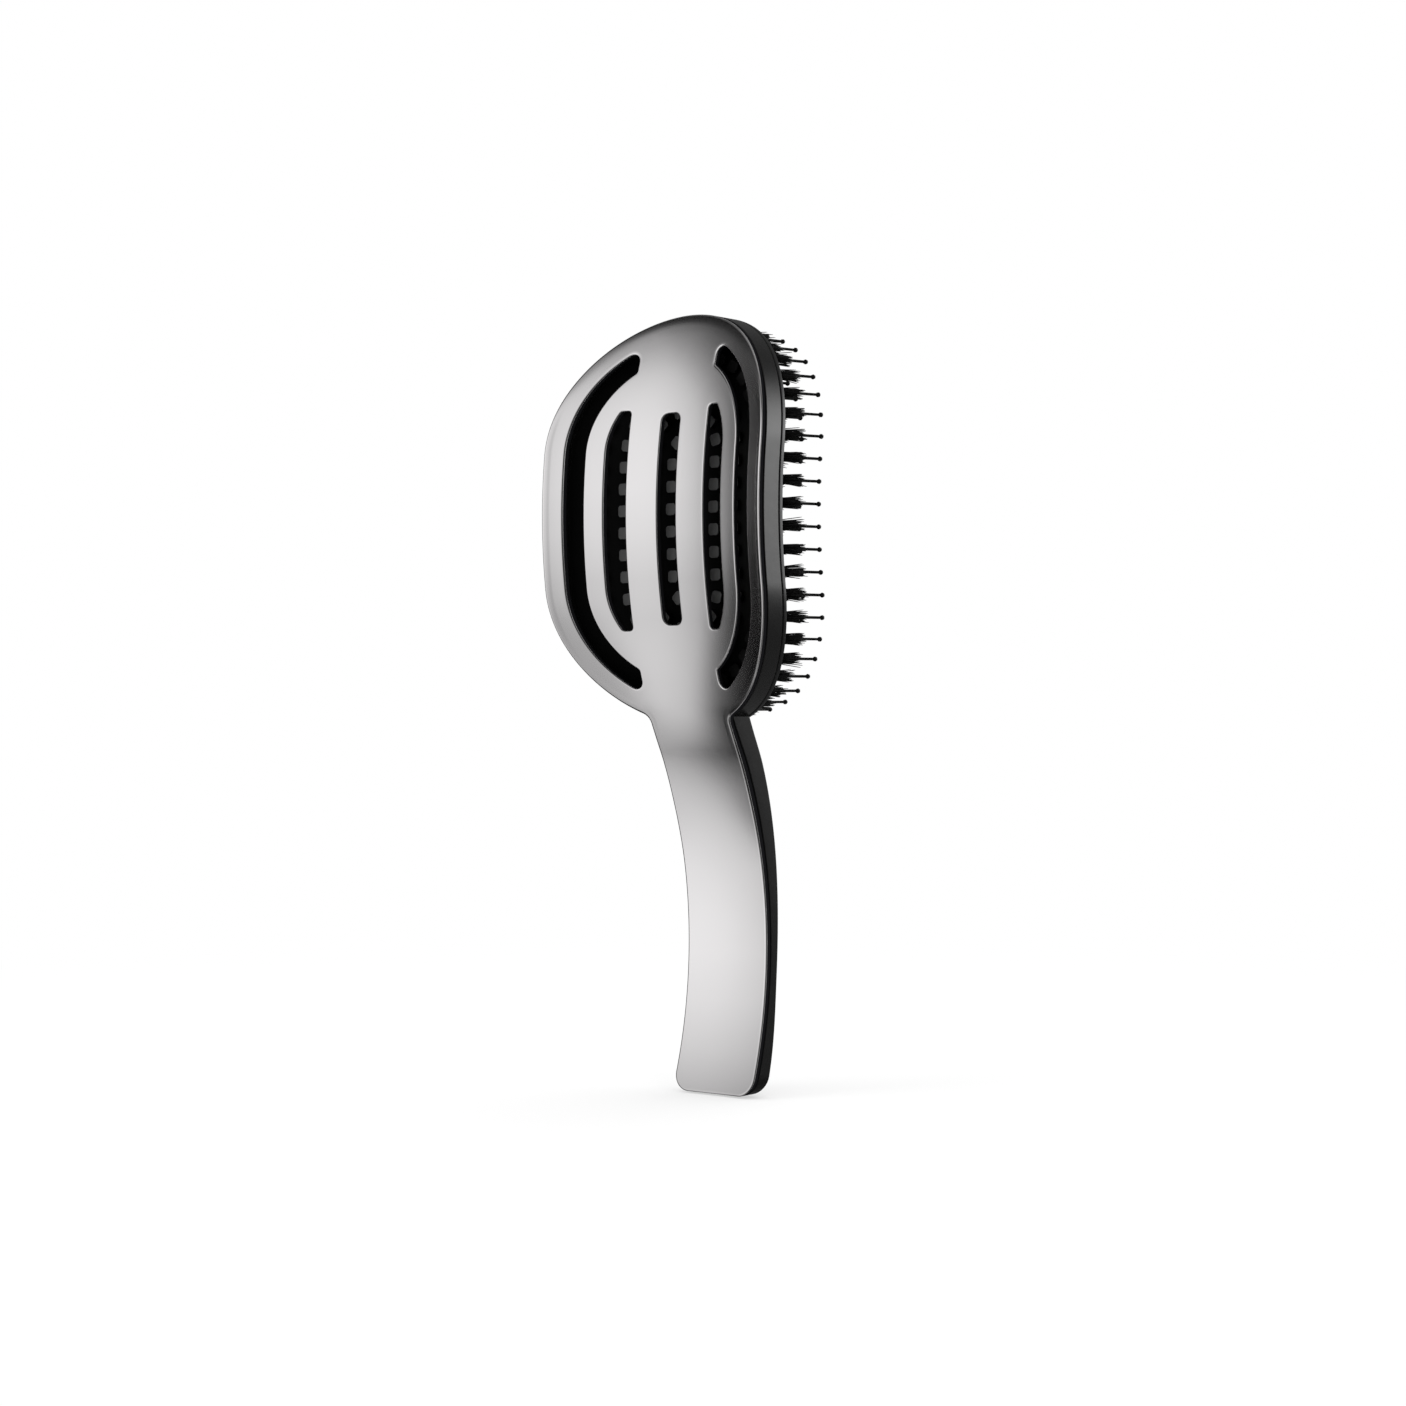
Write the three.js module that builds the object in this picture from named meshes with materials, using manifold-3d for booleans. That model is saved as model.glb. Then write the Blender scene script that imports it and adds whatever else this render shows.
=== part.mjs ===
// Vented hairbrush: a curved oval head with a plated back, a black frame, a black
// bristle plate and ball-tipped pins that each stand in a short bristle tuft.
// Millimetres. +Z runs from the butt of the handle to the top of the head, the
// plated back faces -Y, the bristles point to +Y, and X is across the brush.
// The origin is the centre of the handle shell's flat butt end.

import * as THREE from 'three';
import * as BufferGeometryUtils from 'three/addons/utils/BufferGeometryUtils.js';
import Module from 'manifold-3d';

// ---------------------------------------------------------------- driving sizes

// Clearance between pieces that seat on each other.
const seatGap = 0.3;

// Outline, seen from behind: the head is two half circles joined by straight sides.
const headRadius = 40.5;
const headLowerCentre = 149.7;
const headStraight = 39.8;
const handleHalfWidth = 14.9;
const buttCornerRadius = 5.5;
const neckFilletRadius = 3;

// Lengthwise S: the head's back is one arc and the handle's back is another,
// tangent to each other at the neck.
const headArcRadius = 160.5;
const headArcCrest = 171.4;
const handleArcRadius = 130.3;
const handleArcCrest = 44.6;

// Crosswise, the head's back is dished. The dish fades out down the neck.
const dishRadius = 93;
const dishStart = 98;
const dishFull = 116;

// Back cover, its five vents and the lip that locates it in the frame.
const coverThickness = 2;
const coverLipDepth = 2;
const coverLipThickness = 1.4;
const rimBand = 6.3;
const outerVentWidth = 6.1;
const ventBar = 6.4;
const sideVentWidth = 7.2;
const ventCornerRadius = 1.1;
const ventTipRadius = 2.2;
const sideVentReach = 12.4;
const centreVentHalfWidth = 3.4;
const centreVentCornerRadius = 2.2;
const centreVentEndInset = 29.6;

// Head frame and bristle plate.
const headDepth = 11.4;
const frameWall = 2.2;
const plateThickness = 2;
const plateFlange = 1.7;
const plateVentWidth = 2.8;
const plateVentSweep = THREE.MathUtils.degToRad(40);

// Handle shell: its whole depth behind the plated back at the butt and at the waist.
const handleDepthAtButt = 8.3;
const handleDepthAtWaist = 6.2;
const handleWaist = 36;
const handleDepthStart = 122;
const shellWall = 2;
const shellEdgeRadius = 1.3;

// Five rings of tufts in the head's own shape. A square boss backs each tuft of the
// inner rings, and the last ring stands over the frame's wall.
const outerRingInset = 3.6;
const tuftPitch = 6.5;
const bossRings = 4;
const bossWidth = 3.5;
const bossHeight = 2;
const sliceWidth = 2.4;
const sliceThickness = 0.8;

// The rings that share one slice of the plate, from first to last, and the side of
// the head that each piece of the slice covers: -1 left, 1 right, 0 both.
const tuftBands = [
  { first: 0, last: 1, pieces: { tufts_inner_rings: 0 } },
  { first: 2, last: 2, pieces: { tufts_middle_ring: 0 } },
  { first: 3, last: 4, pieces: { tufts_outer_left: -1, tufts_outer_right: 1 } },
];

// One tuft: a ball-tipped pin and beside it a bunch of shorter bristles.
const pinLength = 15.1;
const pinRadius = 0.4;
const pinBallRadius = 0.75;
const bunchLength = 9;
const bunchRootRadius = 1;
const bunchTipRadius = 0.8;
const bunchOffset = 1.2;
const bunchLean = 0.03;

// Facets: the most that a chord may cut inside an outline's arc or inside a tuft
// ring's arc, and the longest step of the surface grid.
const chordError = 0.1;
const ringChordError = 0.2;
const gridStep = 9;

// ---------------------------------------------------------------- the curved form

const headUpperCentre = headLowerCentre + headStraight;
const overallLength = headUpperCentre + headRadius;
const headFloor = headLowerCentre - headRadius;
const arcSum = headArcRadius + handleArcRadius;
const crestSpan = headArcCrest - handleArcCrest;
const handleBulge = arcSum - Math.sqrt(arcSum ** 2 - crestSpan ** 2);
const neckInflection = headArcCrest - headArcRadius * crestSpan / arcSum;

const circleDrop = (radius, reach) => radius - Math.sqrt(Math.max(radius ** 2 - reach ** 2, 0));
const clampUnit = (t) => Math.min(Math.max(t, 0), 1);
const smoothStep = (t) => clampUnit(t) ** 2 * (3 - 2 * clampUnit(t));

// Centre line of the back, measured towards the bristles from the head's crest.
function spineY(z) {
  if (z > neckInflection) return circleDrop(headArcRadius, z - headArcCrest);
  return handleBulge - circleDrop(handleArcRadius, z - handleArcCrest);
}

// Back surface: the spine, less the dish that carries the head's long edges backwards.
function backY(x, z) {
  const dish = smoothStep((z - dishStart) / (dishFull - dishStart));
  return spineY(z) - dish * x ** 2 / (2 * dishRadius);
}

const depthAt = (depth) => (x, z) => backY(x, z) + depth;

// Depth of the handle from the plated back to the shell's front, thin at the waist.
function handleDepth(z) {
  if (z < handleWaist) {
    const swell = smoothStep(1 - z / handleWaist);
    return handleDepthAtWaist + (handleDepthAtButt - handleDepthAtWaist) * swell;
  }
  const swell = smoothStep((z - handleWaist) / (handleDepthStart - handleWaist));
  return handleDepthAtWaist + (headDepth - handleDepthAtWaist) * swell;
}

// ---------------------------------------------------------------- making solids

const wasm = await Module();
wasm.setup();

function toSolid(geometry) {
  geometry.deleteAttribute('normal');
  geometry.deleteAttribute('uv');
  const merged = BufferGeometryUtils.mergeVertices(geometry, 1e-4);
  const vertProperties = new Float32Array(merged.attributes.position.array);
  const triVerts = new Uint32Array(merged.index.array);
  return new wasm.Manifold(new wasm.Mesh({ numProp: 3, vertProperties, triVerts }));
}

function toMesh(name, solid, material) {
  const data = solid.getMesh();
  const geometry = new THREE.BufferGeometry();
  geometry.setAttribute('position', new THREE.BufferAttribute(new Float32Array(data.vertProperties), 3));
  geometry.setIndex(new THREE.BufferAttribute(new Uint32Array(data.triVerts), 1));
  const mesh = new THREE.Mesh(geometry, material);
  mesh.name = name;
  return mesh;
}

const joinAll = (solids) => solids.reduce((whole, solid) => whole.add(solid));

function geometryFrom(positions, indices) {
  const geometry = new THREE.BufferGeometry();
  geometry.setAttribute('position', new THREE.Float32BufferAttribute(positions, 3));
  geometry.setIndex(indices);
  return geometry;
}

function stations(from, to, step) {
  const count = Math.max(1, Math.round((to - from) / step));
  return Array.from({ length: count + 1 }, (_, i) => from + (to - from) * i / count);
}

// A closed solid between two surfaces over a grid of x and z stations.
function slab(xs, zs, back, front) {
  const positions = [];
  for (const side of [back, front]) {
    for (const z of zs) {
      for (const x of xs) positions.push(x, side(x, z), z);
    }
  }
  const across = xs.length;
  const layer = across * zs.length;
  const at = (side, row, column) => side * layer + row * across + column;
  const indices = [];
  const quad = (a, b, c, d) => indices.push(a, b, c, a, c, d);
  const right = across - 1;
  const top = zs.length - 1;
  for (let row = 0; row < top; row++) {
    for (let column = 0; column < right; column++) {
      quad(at(0, row, column), at(0, row, column + 1), at(0, row + 1, column + 1), at(0, row + 1, column));
      quad(at(1, row, column), at(1, row + 1, column), at(1, row + 1, column + 1), at(1, row, column + 1));
    }
    quad(at(0, row, 0), at(0, row + 1, 0), at(1, row + 1, 0), at(1, row, 0));
    quad(at(0, row, right), at(1, row, right), at(1, row + 1, right), at(0, row + 1, right));
  }
  for (let column = 0; column < right; column++) {
    quad(at(0, 0, column), at(1, 0, column), at(1, 0, column + 1), at(0, 0, column + 1));
    quad(at(0, top, column), at(0, top, column + 1), at(1, top, column + 1), at(1, top, column));
  }
  return toSolid(geometryFrom(positions, indices));
}

// The head's slab between two depths behind its plated back.
function headSlab(fromDepth, toDepth) {
  const xs = stations(-headRadius - gridStep / 2, headRadius + gridStep / 2, gridStep);
  const zs = stations(headFloor - gridStep / 2, overallLength + gridStep / 2, gridStep);
  return slab(xs, zs, depthAt(fromDepth), depthAt(toDepth));
}

// An outline in x and z, pushed along y right through the brush.
function prism(points) {
  const reach = 4 * headRadius + 2 * handleBulge;
  const geometry = new THREE.ExtrudeGeometry(new THREE.Shape(points), { depth: reach, bevelEnabled: false });
  geometry.rotateX(Math.PI / 2);
  geometry.translate(0, reach / 2, 0);
  return toSolid(geometry);
}

// ---------------------------------------------------------------- outlines

// How many chords an arc takes, always even so that its middle is a corner.
function facets(radius, sweep, error) {
  const widest = 2 * Math.acos(1 - Math.min(error / radius, 0.5));
  return 2 * Math.max(1, Math.ceil(sweep / widest / 2));
}

function arc(x, z, radius, from, to, error = chordError) {
  const count = facets(radius, Math.abs(to - from), error);
  return Array.from({ length: count + 1 }, (_, i) => {
    const angle = from + (to - from) * i / count;
    return new THREE.Vector2(x + radius * Math.cos(angle), z + radius * Math.sin(angle));
  });
}

const mirrored = (points) => points.map((p) => new THREE.Vector2(-p.x, p.y)).reverse();

// The head's own shape at any radius.
const stadium = (radius) => [
  ...arc(0, headUpperCentre, radius, 0, Math.PI),
  ...arc(0, headLowerCentre, radius, Math.PI, 2 * Math.PI),
];

function rectangle(halfWidth, bottom, top, cornerRadius) {
  const side = halfWidth - cornerRadius;
  return [
    ...arc(side, top - cornerRadius, cornerRadius, 0, Math.PI / 2),
    ...arc(-side, top - cornerRadius, cornerRadius, Math.PI / 2, Math.PI),
    ...arc(-side, bottom + cornerRadius, cornerRadius, Math.PI, 1.5 * Math.PI),
    ...arc(side, bottom + cornerRadius, cornerRadius, -Math.PI / 2, 0),
  ];
}

// The handle alone, drawn in by an inset, with square ends at its upper edge.
function handleOutline(inset, top) {
  const radius = Math.max(buttCornerRadius - inset, chordError);
  const side = handleHalfWidth - inset - radius;
  return [
    new THREE.Vector2(handleHalfWidth - inset, top),
    new THREE.Vector2(inset - handleHalfWidth, top),
    ...arc(-side, inset + radius, radius, Math.PI, 1.5 * Math.PI),
    ...arc(side, inset + radius, radius, -Math.PI / 2, 0),
  ];
}

// The webs that round off the two corners where the handle meets the head.
function neckWeb() {
  const x = handleHalfWidth + neckFilletRadius;
  const z = headLowerCentre - Math.sqrt((headRadius + neckFilletRadius) ** 2 - x ** 2);
  const turn = Math.atan2(headLowerCentre - z, x);
  const right = arc(x, z, neckFilletRadius, Math.PI, Math.PI - turn);
  return [...right, new THREE.Vector2(0, headLowerCentre), ...mirrored(right)].reverse();
}

// A vent between two of the head's rings, ended on a straight cut beside the centre rib.
function outerVent(inner, outer) {
  const tipX = ventCutLine + ventTipRadius;
  const innerX = ventCutLine + ventCornerRadius;
  const outerReach = Math.sqrt((outer - ventTipRadius) ** 2 - tipX ** 2);
  const innerReach = Math.sqrt((inner + ventCornerRadius) ** 2 - innerX ** 2);
  const outerTurn = Math.atan2(outerReach, tipX);
  const innerTurn = Math.atan2(innerReach, innerX);
  return [
    ...arc(0, headLowerCentre, outer, -outerTurn, 0),
    ...arc(0, headUpperCentre, outer, 0, outerTurn),
    ...arc(tipX, headUpperCentre + outerReach, ventTipRadius, outerTurn, Math.PI),
    ...arc(innerX, headUpperCentre + innerReach, ventCornerRadius, Math.PI, Math.PI + innerTurn),
    ...arc(0, headUpperCentre, inner, innerTurn, 0),
    ...arc(0, headLowerCentre, inner, 0, -innerTurn),
    ...arc(innerX, headLowerCentre - innerReach, ventCornerRadius, Math.PI - innerTurn, Math.PI),
    ...arc(tipX, headLowerCentre - outerReach, ventTipRadius, Math.PI, 2 * Math.PI - outerTurn),
  ];
}

// A blunt-ended vent between the straight cut and one ring, bowed outwards like its neighbour.
function sideVent(outer) {
  const cutX = ventCutLine + ventCornerRadius;
  const reach = sideVentReach - ventCornerRadius;
  const ringX = Math.sqrt((outer - ventCornerRadius) ** 2 - reach ** 2);
  const turn = Math.atan2(reach, ringX);
  return [
    ...arc(0, headLowerCentre, outer, -turn, 0),
    ...arc(0, headUpperCentre, outer, 0, turn),
    ...arc(ringX, headUpperCentre + reach, ventCornerRadius, turn, Math.PI / 2),
    ...arc(cutX, headUpperCentre + reach, ventCornerRadius, Math.PI / 2, Math.PI),
    ...arc(cutX, headLowerCentre - reach, ventCornerRadius, Math.PI, 1.5 * Math.PI),
    ...arc(ringX, headLowerCentre - reach, ventCornerRadius, -Math.PI / 2, -turn),
  ];
}

// A slot along one side of a ring, reaching the same angle round both of its ends.
function ringSlot(radius, width, sweep) {
  const outer = radius + width / 2;
  const inner = radius - width / 2;
  return [
    ...arc(0, headLowerCentre, outer, -sweep, 0, ringChordError),
    ...arc(0, headUpperCentre, outer, 0, sweep, ringChordError),
    ...arc(0, headUpperCentre, inner, sweep, 0, ringChordError),
    ...arc(0, headLowerCentre, inner, 0, -sweep, ringChordError),
  ];
}

// ---------------------------------------------------------------- back cover

const outerVentOuter = headRadius - rimBand;
const outerVentInner = outerVentOuter - outerVentWidth;
const sideVentOuter = outerVentInner - ventBar;
const ventCutLine = sideVentOuter - sideVentWidth;
const frameInner = headRadius - frameWall;
const lipOuter = frameInner - seatGap;

function makeBackCover() {
  const xs = stations(-headRadius - gridStep / 2, headRadius + gridStep / 2, gridStep);
  const zs = stations(-gridStep, overallLength + gridStep, gridStep);
  const outline = joinAll([
    prism(stadium(headRadius)),
    prism(handleOutline(0, headLowerCentre)),
    prism(neckWeb()),
  ]);
  const vents = [
    rectangle(
      centreVentHalfWidth, headFloor + centreVentEndInset,
      overallLength - centreVentEndInset, centreVentCornerRadius,
    ),
    sideVent(sideVentOuter),
    mirrored(sideVent(sideVentOuter)),
    outerVent(outerVentInner, outerVentOuter),
    mirrored(outerVent(outerVentInner, outerVentOuter)),
  ];
  const sheet = slab(xs, zs, depthAt(0), depthAt(coverThickness)).intersect(outline);
  const turns = facets(headRadius, Math.PI, chordError);
  const lipFront = coverThickness + coverLipDepth;
  const lip = ringBand(turns, lipOuter - coverLipThickness, lipOuter, coverThickness / 2, lipFront);
  return sheet.add(lip).subtract(joinAll(vents.map(prism)));
}

// ---------------------------------------------------------------- head frame

function makeHeadFrame() {
  const turns = facets(headRadius, Math.PI, chordError);
  const front = headDepth - plateFlange - seatGap;
  return ringBand(turns, frameInner, headRadius, coverThickness + seatGap, front);
}

// ---------------------------------------------------------------- tuft rings

// The rings are evenly spaced, and the outer one keeps its distance from the head's edge.
const ringPitch = (headRadius - outerRingInset) / (tuftBands.at(-1).last + 0.5);
const ringRadius = (ring) => ringPitch * (ring + 0.5);

// Where a ring's tufts stand: evenly along each quarter of it, from half a step beside
// the middle of its straight side, so that they lie in level rows across the head.
function ringPlaces(radius) {
  const halfStraight = headStraight / 2;
  const quarter = halfStraight + Math.PI * radius / 2;
  const count = Math.round(quarter / tuftPitch);
  const places = [];
  for (let i = 0; i < count; i++) {
    const run = quarter * (i + 0.5) / count;
    const turn = Math.max(run - halfStraight, 0) / radius;
    const rise = Math.min(run, halfStraight) + radius * Math.sin(turn);
    for (const side of [-1, 1]) {
      for (const end of [-1, 1]) {
        const x = side * radius * Math.cos(turn);
        const z = headLowerCentre + halfStraight + end * rise;
        places.push({ x, z, side, angle: end * turn });
      }
    }
  }
  return places;
}

// A closed band round one ring, between two radii and two depths behind the back.
function ringBand(turns, inner, outer, fromDepth, toDepth) {
  const upper = Array.from({ length: turns + 1 }, (_, i) => [headUpperCentre, Math.PI * i / turns]);
  const lower = upper.map(([, angle]) => [headLowerCentre, Math.PI + angle]);
  const between = stations(headLowerCentre, headUpperCentre, gridStep).slice(1, -1);
  const leftSide = between.map((z) => [z, Math.PI]).reverse();
  const rightSide = between.map((z) => [z, 0]);
  const centreLine = [...upper, ...leftSide, ...lower, ...rightSide];
  const positions = [];
  const indices = [];
  const corners = [[inner, fromDepth], [outer, fromDepth], [outer, toDepth], [inner, toDepth]];
  centreLine.forEach(([centre, angle], station) => {
    const next = (station + 1) % centreLine.length;
    corners.forEach(([radius, depth], corner) => {
      const x = radius * Math.cos(angle);
      const z = centre + radius * Math.sin(angle);
      positions.push(x, backY(x, z) + depth, z);
      const beside = (corner + 1) % corners.length;
      const [a, b] = [4 * station + corner, 4 * station + beside];
      const [c, d] = [4 * next + beside, 4 * next + corner];
      indices.push(a, b, c, a, c, d);
    });
  });
  return toSolid(geometryFrom(positions, indices));
}

// The slice of the plate under a band of rings, or with a clearance the groove it lies in.
function bandSolid({ first, last }, clearance, front) {
  const reach = sliceWidth / 2 + clearance;
  const inner = ringRadius(first) - reach;
  const outer = ringRadius(last) + reach;
  const turns = facets(outer, Math.PI, ringChordError);
  return ringBand(turns, inner, outer, headDepth - sliceThickness - clearance, front);
}

// One side of the head, clear of the middle plane by half the gap between the halves.
function headHalf(side) {
  const [near, far] = [side * seatGap / 2, side * overallLength];
  return [
    new THREE.Vector2(near, 0), new THREE.Vector2(far, 0),
    new THREE.Vector2(far, 2 * overallLength), new THREE.Vector2(near, 2 * overallLength),
  ];
}

// ---------------------------------------------------------------- bristle plate

const bossBack = headDepth - plateThickness - bossHeight;

function makeBoss({ x, z, side, angle }) {
  const overlap = plateThickness / 2;
  const depth = bossHeight + overlap;
  const geometry = new THREE.BoxGeometry(bossWidth, depth, bossWidth);
  geometry.rotateY(-side * angle);
  geometry.translate(x, backY(x, z) + bossBack + depth / 2, z);
  return toSolid(geometry);
}

function makeBristlePlate() {
  const flange = headSlab(headDepth - plateFlange, headDepth).intersect(prism(stadium(headRadius)));
  const body = headSlab(headDepth - plateThickness, headDepth).intersect(prism(stadium(lipOuter)));
  const grooves = tuftBands.map((band) => bandSolid(band, seatGap, headDepth + plateThickness));
  const bosses = [];
  for (let ring = 0; ring < bossRings; ring++) bosses.push(...ringPlaces(ringRadius(ring)).map(makeBoss));
  const sideSlot = ringSlot(ringPitch * 2, plateVentWidth, plateVentSweep);
  const centreSlot = rectangle(
    plateVentWidth / 2, headLowerCentre, headUpperCentre, plateVentWidth / 3,
  );
  const slots = [centreSlot, sideSlot, mirrored(sideSlot)];
  return joinAll([flange.add(body), ...bosses])
    .subtract(joinAll(grooves))
    .subtract(joinAll(slots.map(prism)));
}

// ---------------------------------------------------------------- handle shell

function makeHandleShell() {
  const flat = handleHalfWidth - shellEdgeRadius;
  const rounding = [0, 0.45, 0.8, 1].map((share) => flat + shellEdgeRadius * share);
  const half = [flat / 2, ...rounding, handleHalfWidth + seatGap];
  const xs = [...half.map((x) => -x).reverse(), 0, ...half];
  const zs = stations(-gridStep, headLowerCentre, gridStep);
  const edgeDrop = (x) => circleDrop(shellEdgeRadius, Math.min(Math.max(Math.abs(x) - flat, 0), shellEdgeRadius));
  const front = (inset) => (x, z) => backY(x, z) + handleDepth(z) - inset - edgeDrop(x);
  const outer = slab(xs, zs, depthAt(coverThickness + seatGap), front(0))
    .intersect(prism(handleOutline(0, headLowerCentre)))
    .subtract(prism(stadium(headRadius + seatGap)));
  const cavity = slab(xs, zs, depthAt(coverThickness / 2), front(shellWall))
    .intersect(prism(handleOutline(shellWall, headLowerCentre)))
    .subtract(prism(stadium(headRadius + seatGap + shellWall)));
  return outer.subtract(cavity);
}

// ---------------------------------------------------------------- tufts

// A tapering strand of flat sides through rings of [distance, radius] along its direction.
function strand(foot, direction, tangent, sides, rings) {
  const across = new THREE.Vector3().crossVectors(direction, tangent).normalize();
  const beside = new THREE.Vector3().crossVectors(across, direction).normalize();
  const positions = [];
  const indices = [];
  for (const [distance, radius] of rings) {
    for (let i = 0; i < sides; i++) {
      const angle = 2 * Math.PI * i / sides;
      const point = foot.clone().addScaledVector(direction, distance)
        .addScaledVector(beside, radius * Math.cos(angle))
        .addScaledVector(across, radius * Math.sin(angle));
      positions.push(point.x, point.y, point.z);
    }
  }
  for (let ring = 0; ring + 1 < rings.length; ring++) {
    for (let i = 0; i < sides; i++) {
      const next = (i + 1) % sides;
      const [a, b] = [ring * sides + i, ring * sides + next];
      indices.push(a, b, b + sides, a, b + sides, a + sides);
    }
  }
  const last = (rings.length - 1) * sides;
  for (let i = 1; i + 1 < sides; i++) {
    indices.push(0, i + 1, i);
    indices.push(last, last + i, last + i + 1);
  }
  return toSolid(geometryFrom(positions, indices));
}

// The strands stand square to the dished plate across the head and level along it.
function makeTuft({ x, z, side, angle }) {
  const sink = sliceThickness / 2;
  const tangent = new THREE.Vector3(-side * Math.sin(angle), 0, Math.cos(angle));
  const direction = new THREE.Vector3(x / dishRadius, 1, 0).normalize();
  const foot = new THREE.Vector3(x, backY(x, z) + headDepth, z);
  const ballCentre = pinLength - pinBallRadius;
  const pin = strand(foot, direction, tangent, 3, [
    [-sink, pinRadius], [ballCentre - pinBallRadius, pinRadius],
    [ballCentre, pinBallRadius], [pinLength, 0],
  ]);
  const lean = direction.clone().addScaledVector(tangent, bunchLean).normalize();
  const root = foot.clone().addScaledVector(tangent, bunchOffset);
  root.y = backY(root.x, root.z) + headDepth;
  const bunch = strand(root, lean, tangent, 3, [[-sink, bunchRootRadius], [bunchLength, bunchTipRadius]]);
  return [pin, bunch];
}

// One piece of a band's slice with its strands, the whole band or the half on one side.
function makeTuftPiece(band, side) {
  const slice = bandSolid(band, 0, headDepth);
  const strands = [];
  for (let ring = band.first; ring <= band.last; ring++) {
    const places = ringPlaces(ringRadius(ring));
    strands.push(...places.filter((place) => place.side !== -side).flatMap(makeTuft));
  }
  if (side === 0) return joinAll([slice, ...strands]);
  return joinAll([slice.intersect(prism(headHalf(side))), ...strands]);
}

// ---------------------------------------------------------------- the brush

const plated = new THREE.MeshStandardMaterial({ color: 0xa8a5a7, metalness: 1, roughness: 0.22 });
const glossBlack = new THREE.MeshStandardMaterial({ color: 0x16151a, metalness: 0, roughness: 0.25 });
const satinBlack = new THREE.MeshStandardMaterial({ color: 0x121214, metalness: 0, roughness: 0.45 });
const bristleBlack = new THREE.MeshStandardMaterial({ color: 0x0b0b0c, metalness: 0, roughness: 0.6 });

const brush = new THREE.Group();
brush.add(toMesh('back_cover', makeBackCover(), plated.clone()));
brush.add(toMesh('head_frame', makeHeadFrame(), glossBlack.clone()));
brush.add(toMesh('bristle_plate', makeBristlePlate(), satinBlack.clone()));
brush.add(toMesh('handle_shell', makeHandleShell(), glossBlack.clone()));
for (const band of tuftBands) {
  for (const [name, side] of Object.entries(band.pieces)) {
    brush.add(toMesh(name, makeTuftPiece(band, side), bristleBlack.clone()));
  }
}

// The shell's butt end is centred on the origin.
brush.position.y = -(spineY(0) + (coverThickness + seatGap + handleDepth(0)) / 2);

export default brush;
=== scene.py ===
import bpy
import numpy as np
from mathutils.geometry import delaunay_2d_cdt
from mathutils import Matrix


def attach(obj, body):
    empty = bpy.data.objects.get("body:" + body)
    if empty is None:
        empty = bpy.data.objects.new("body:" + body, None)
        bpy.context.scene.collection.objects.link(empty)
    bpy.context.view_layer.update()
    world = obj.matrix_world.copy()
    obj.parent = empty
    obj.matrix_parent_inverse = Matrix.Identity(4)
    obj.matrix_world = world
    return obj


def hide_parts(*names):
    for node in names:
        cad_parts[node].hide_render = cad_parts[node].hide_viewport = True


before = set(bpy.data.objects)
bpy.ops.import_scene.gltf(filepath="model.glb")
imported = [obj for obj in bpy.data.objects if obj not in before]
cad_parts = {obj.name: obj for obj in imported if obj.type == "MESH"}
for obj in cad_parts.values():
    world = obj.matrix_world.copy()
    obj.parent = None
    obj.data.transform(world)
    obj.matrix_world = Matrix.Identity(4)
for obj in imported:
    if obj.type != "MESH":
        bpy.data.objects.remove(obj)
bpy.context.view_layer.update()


# ------------------------------------------------------------------ back cover
# One moulded shell over the whole back, head and handle together, plated in dark
# chrome. The vents are cut clean through it with rounded lips.

MM = 0.001
SEAT_GAP = 0.3
HEAD_RADIUS = 40.5
HEAD_LOW, HEAD_HIGH = 149.7, 189.5
HANDLE_HALF = 14.9
BUTT_CORNER = 5.5
NECK_FILLET = 3.0
HEAD_ARC, HEAD_CREST = 160.5, 171.4
HANDLE_ARC, HANDLE_CREST = 130.3, 44.6
DISH_RADIUS, DISH_START, DISH_FULL = 93.0, 98.0, 116.0
OUTLINE_STEP, SLOT_STEP, COVER_GRID = 0.8, 0.5, 1.9
GRID_CLEARANCE, SLOPE_STEP = 0.55, 0.05
COVER_THICK = 2.0
BUTT_DEPTH, WAIST_DEPTH, HEAD_DEPTH = 8.3, 6.2, 11.4
HANDLE_WAIST, HANDLE_DEPTH_START = 36.0, 122.0

ARC_SUM = HEAD_ARC + HANDLE_ARC
CREST_SPAN = HEAD_CREST - HANDLE_CREST
HANDLE_BULGE = ARC_SUM - np.sqrt(ARC_SUM**2 - CREST_SPAN**2)
NECK = HEAD_CREST - HEAD_ARC * CREST_SPAN / ARC_SUM


def smooth(t):
    """Smoothstep: 3t^2 - 2t^3 with t held between 0 and 1."""
    t = np.clip(t, 0.0, 1.0)
    return t * t * (3.0 - 2.0 * t)


def drop(radius, reach):
    """How far a circle has fallen away from its crest at a sideways reach."""
    return radius - np.sqrt(np.maximum(radius**2 - reach**2, 0.0))


def spine(z):
    """Lengthwise S: the head's circle above the neck, the handle's circle below it, tangent where they meet."""
    handle = HANDLE_BULGE - drop(HANDLE_ARC, z - HANDLE_CREST)
    return np.where(z > NECK, drop(HEAD_ARC, z - HEAD_CREST), handle)


def back(x, z):
    """The plated surface: the spine less x^2 / 2R of the dish, which a smoothstep fades in up the neck."""
    dish = smooth((z - DISH_START) / (DISH_FULL - DISH_START))
    return spine(z) - dish * x**2 / (2.0 * DISH_RADIUS)


def handle_depth(z):
    """Depth of the handle behind the back: thin at the waist, swelling by smoothsteps to the butt and the neck."""
    butt = (BUTT_DEPTH - WAIST_DEPTH) * smooth(1.0 - z / HANDLE_WAIST)
    neck = (HEAD_DEPTH - WAIST_DEPTH) * smooth((z - HANDLE_WAIST) / (HANDLE_DEPTH_START - HANDLE_WAIST))
    return WAIST_DEPTH + np.where(z < HANDLE_WAIST, butt, neck)


BUTT_CENTRE = spine(0.0) + (COVER_THICK + SEAT_GAP + BUTT_DEPTH) / 2.0


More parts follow.
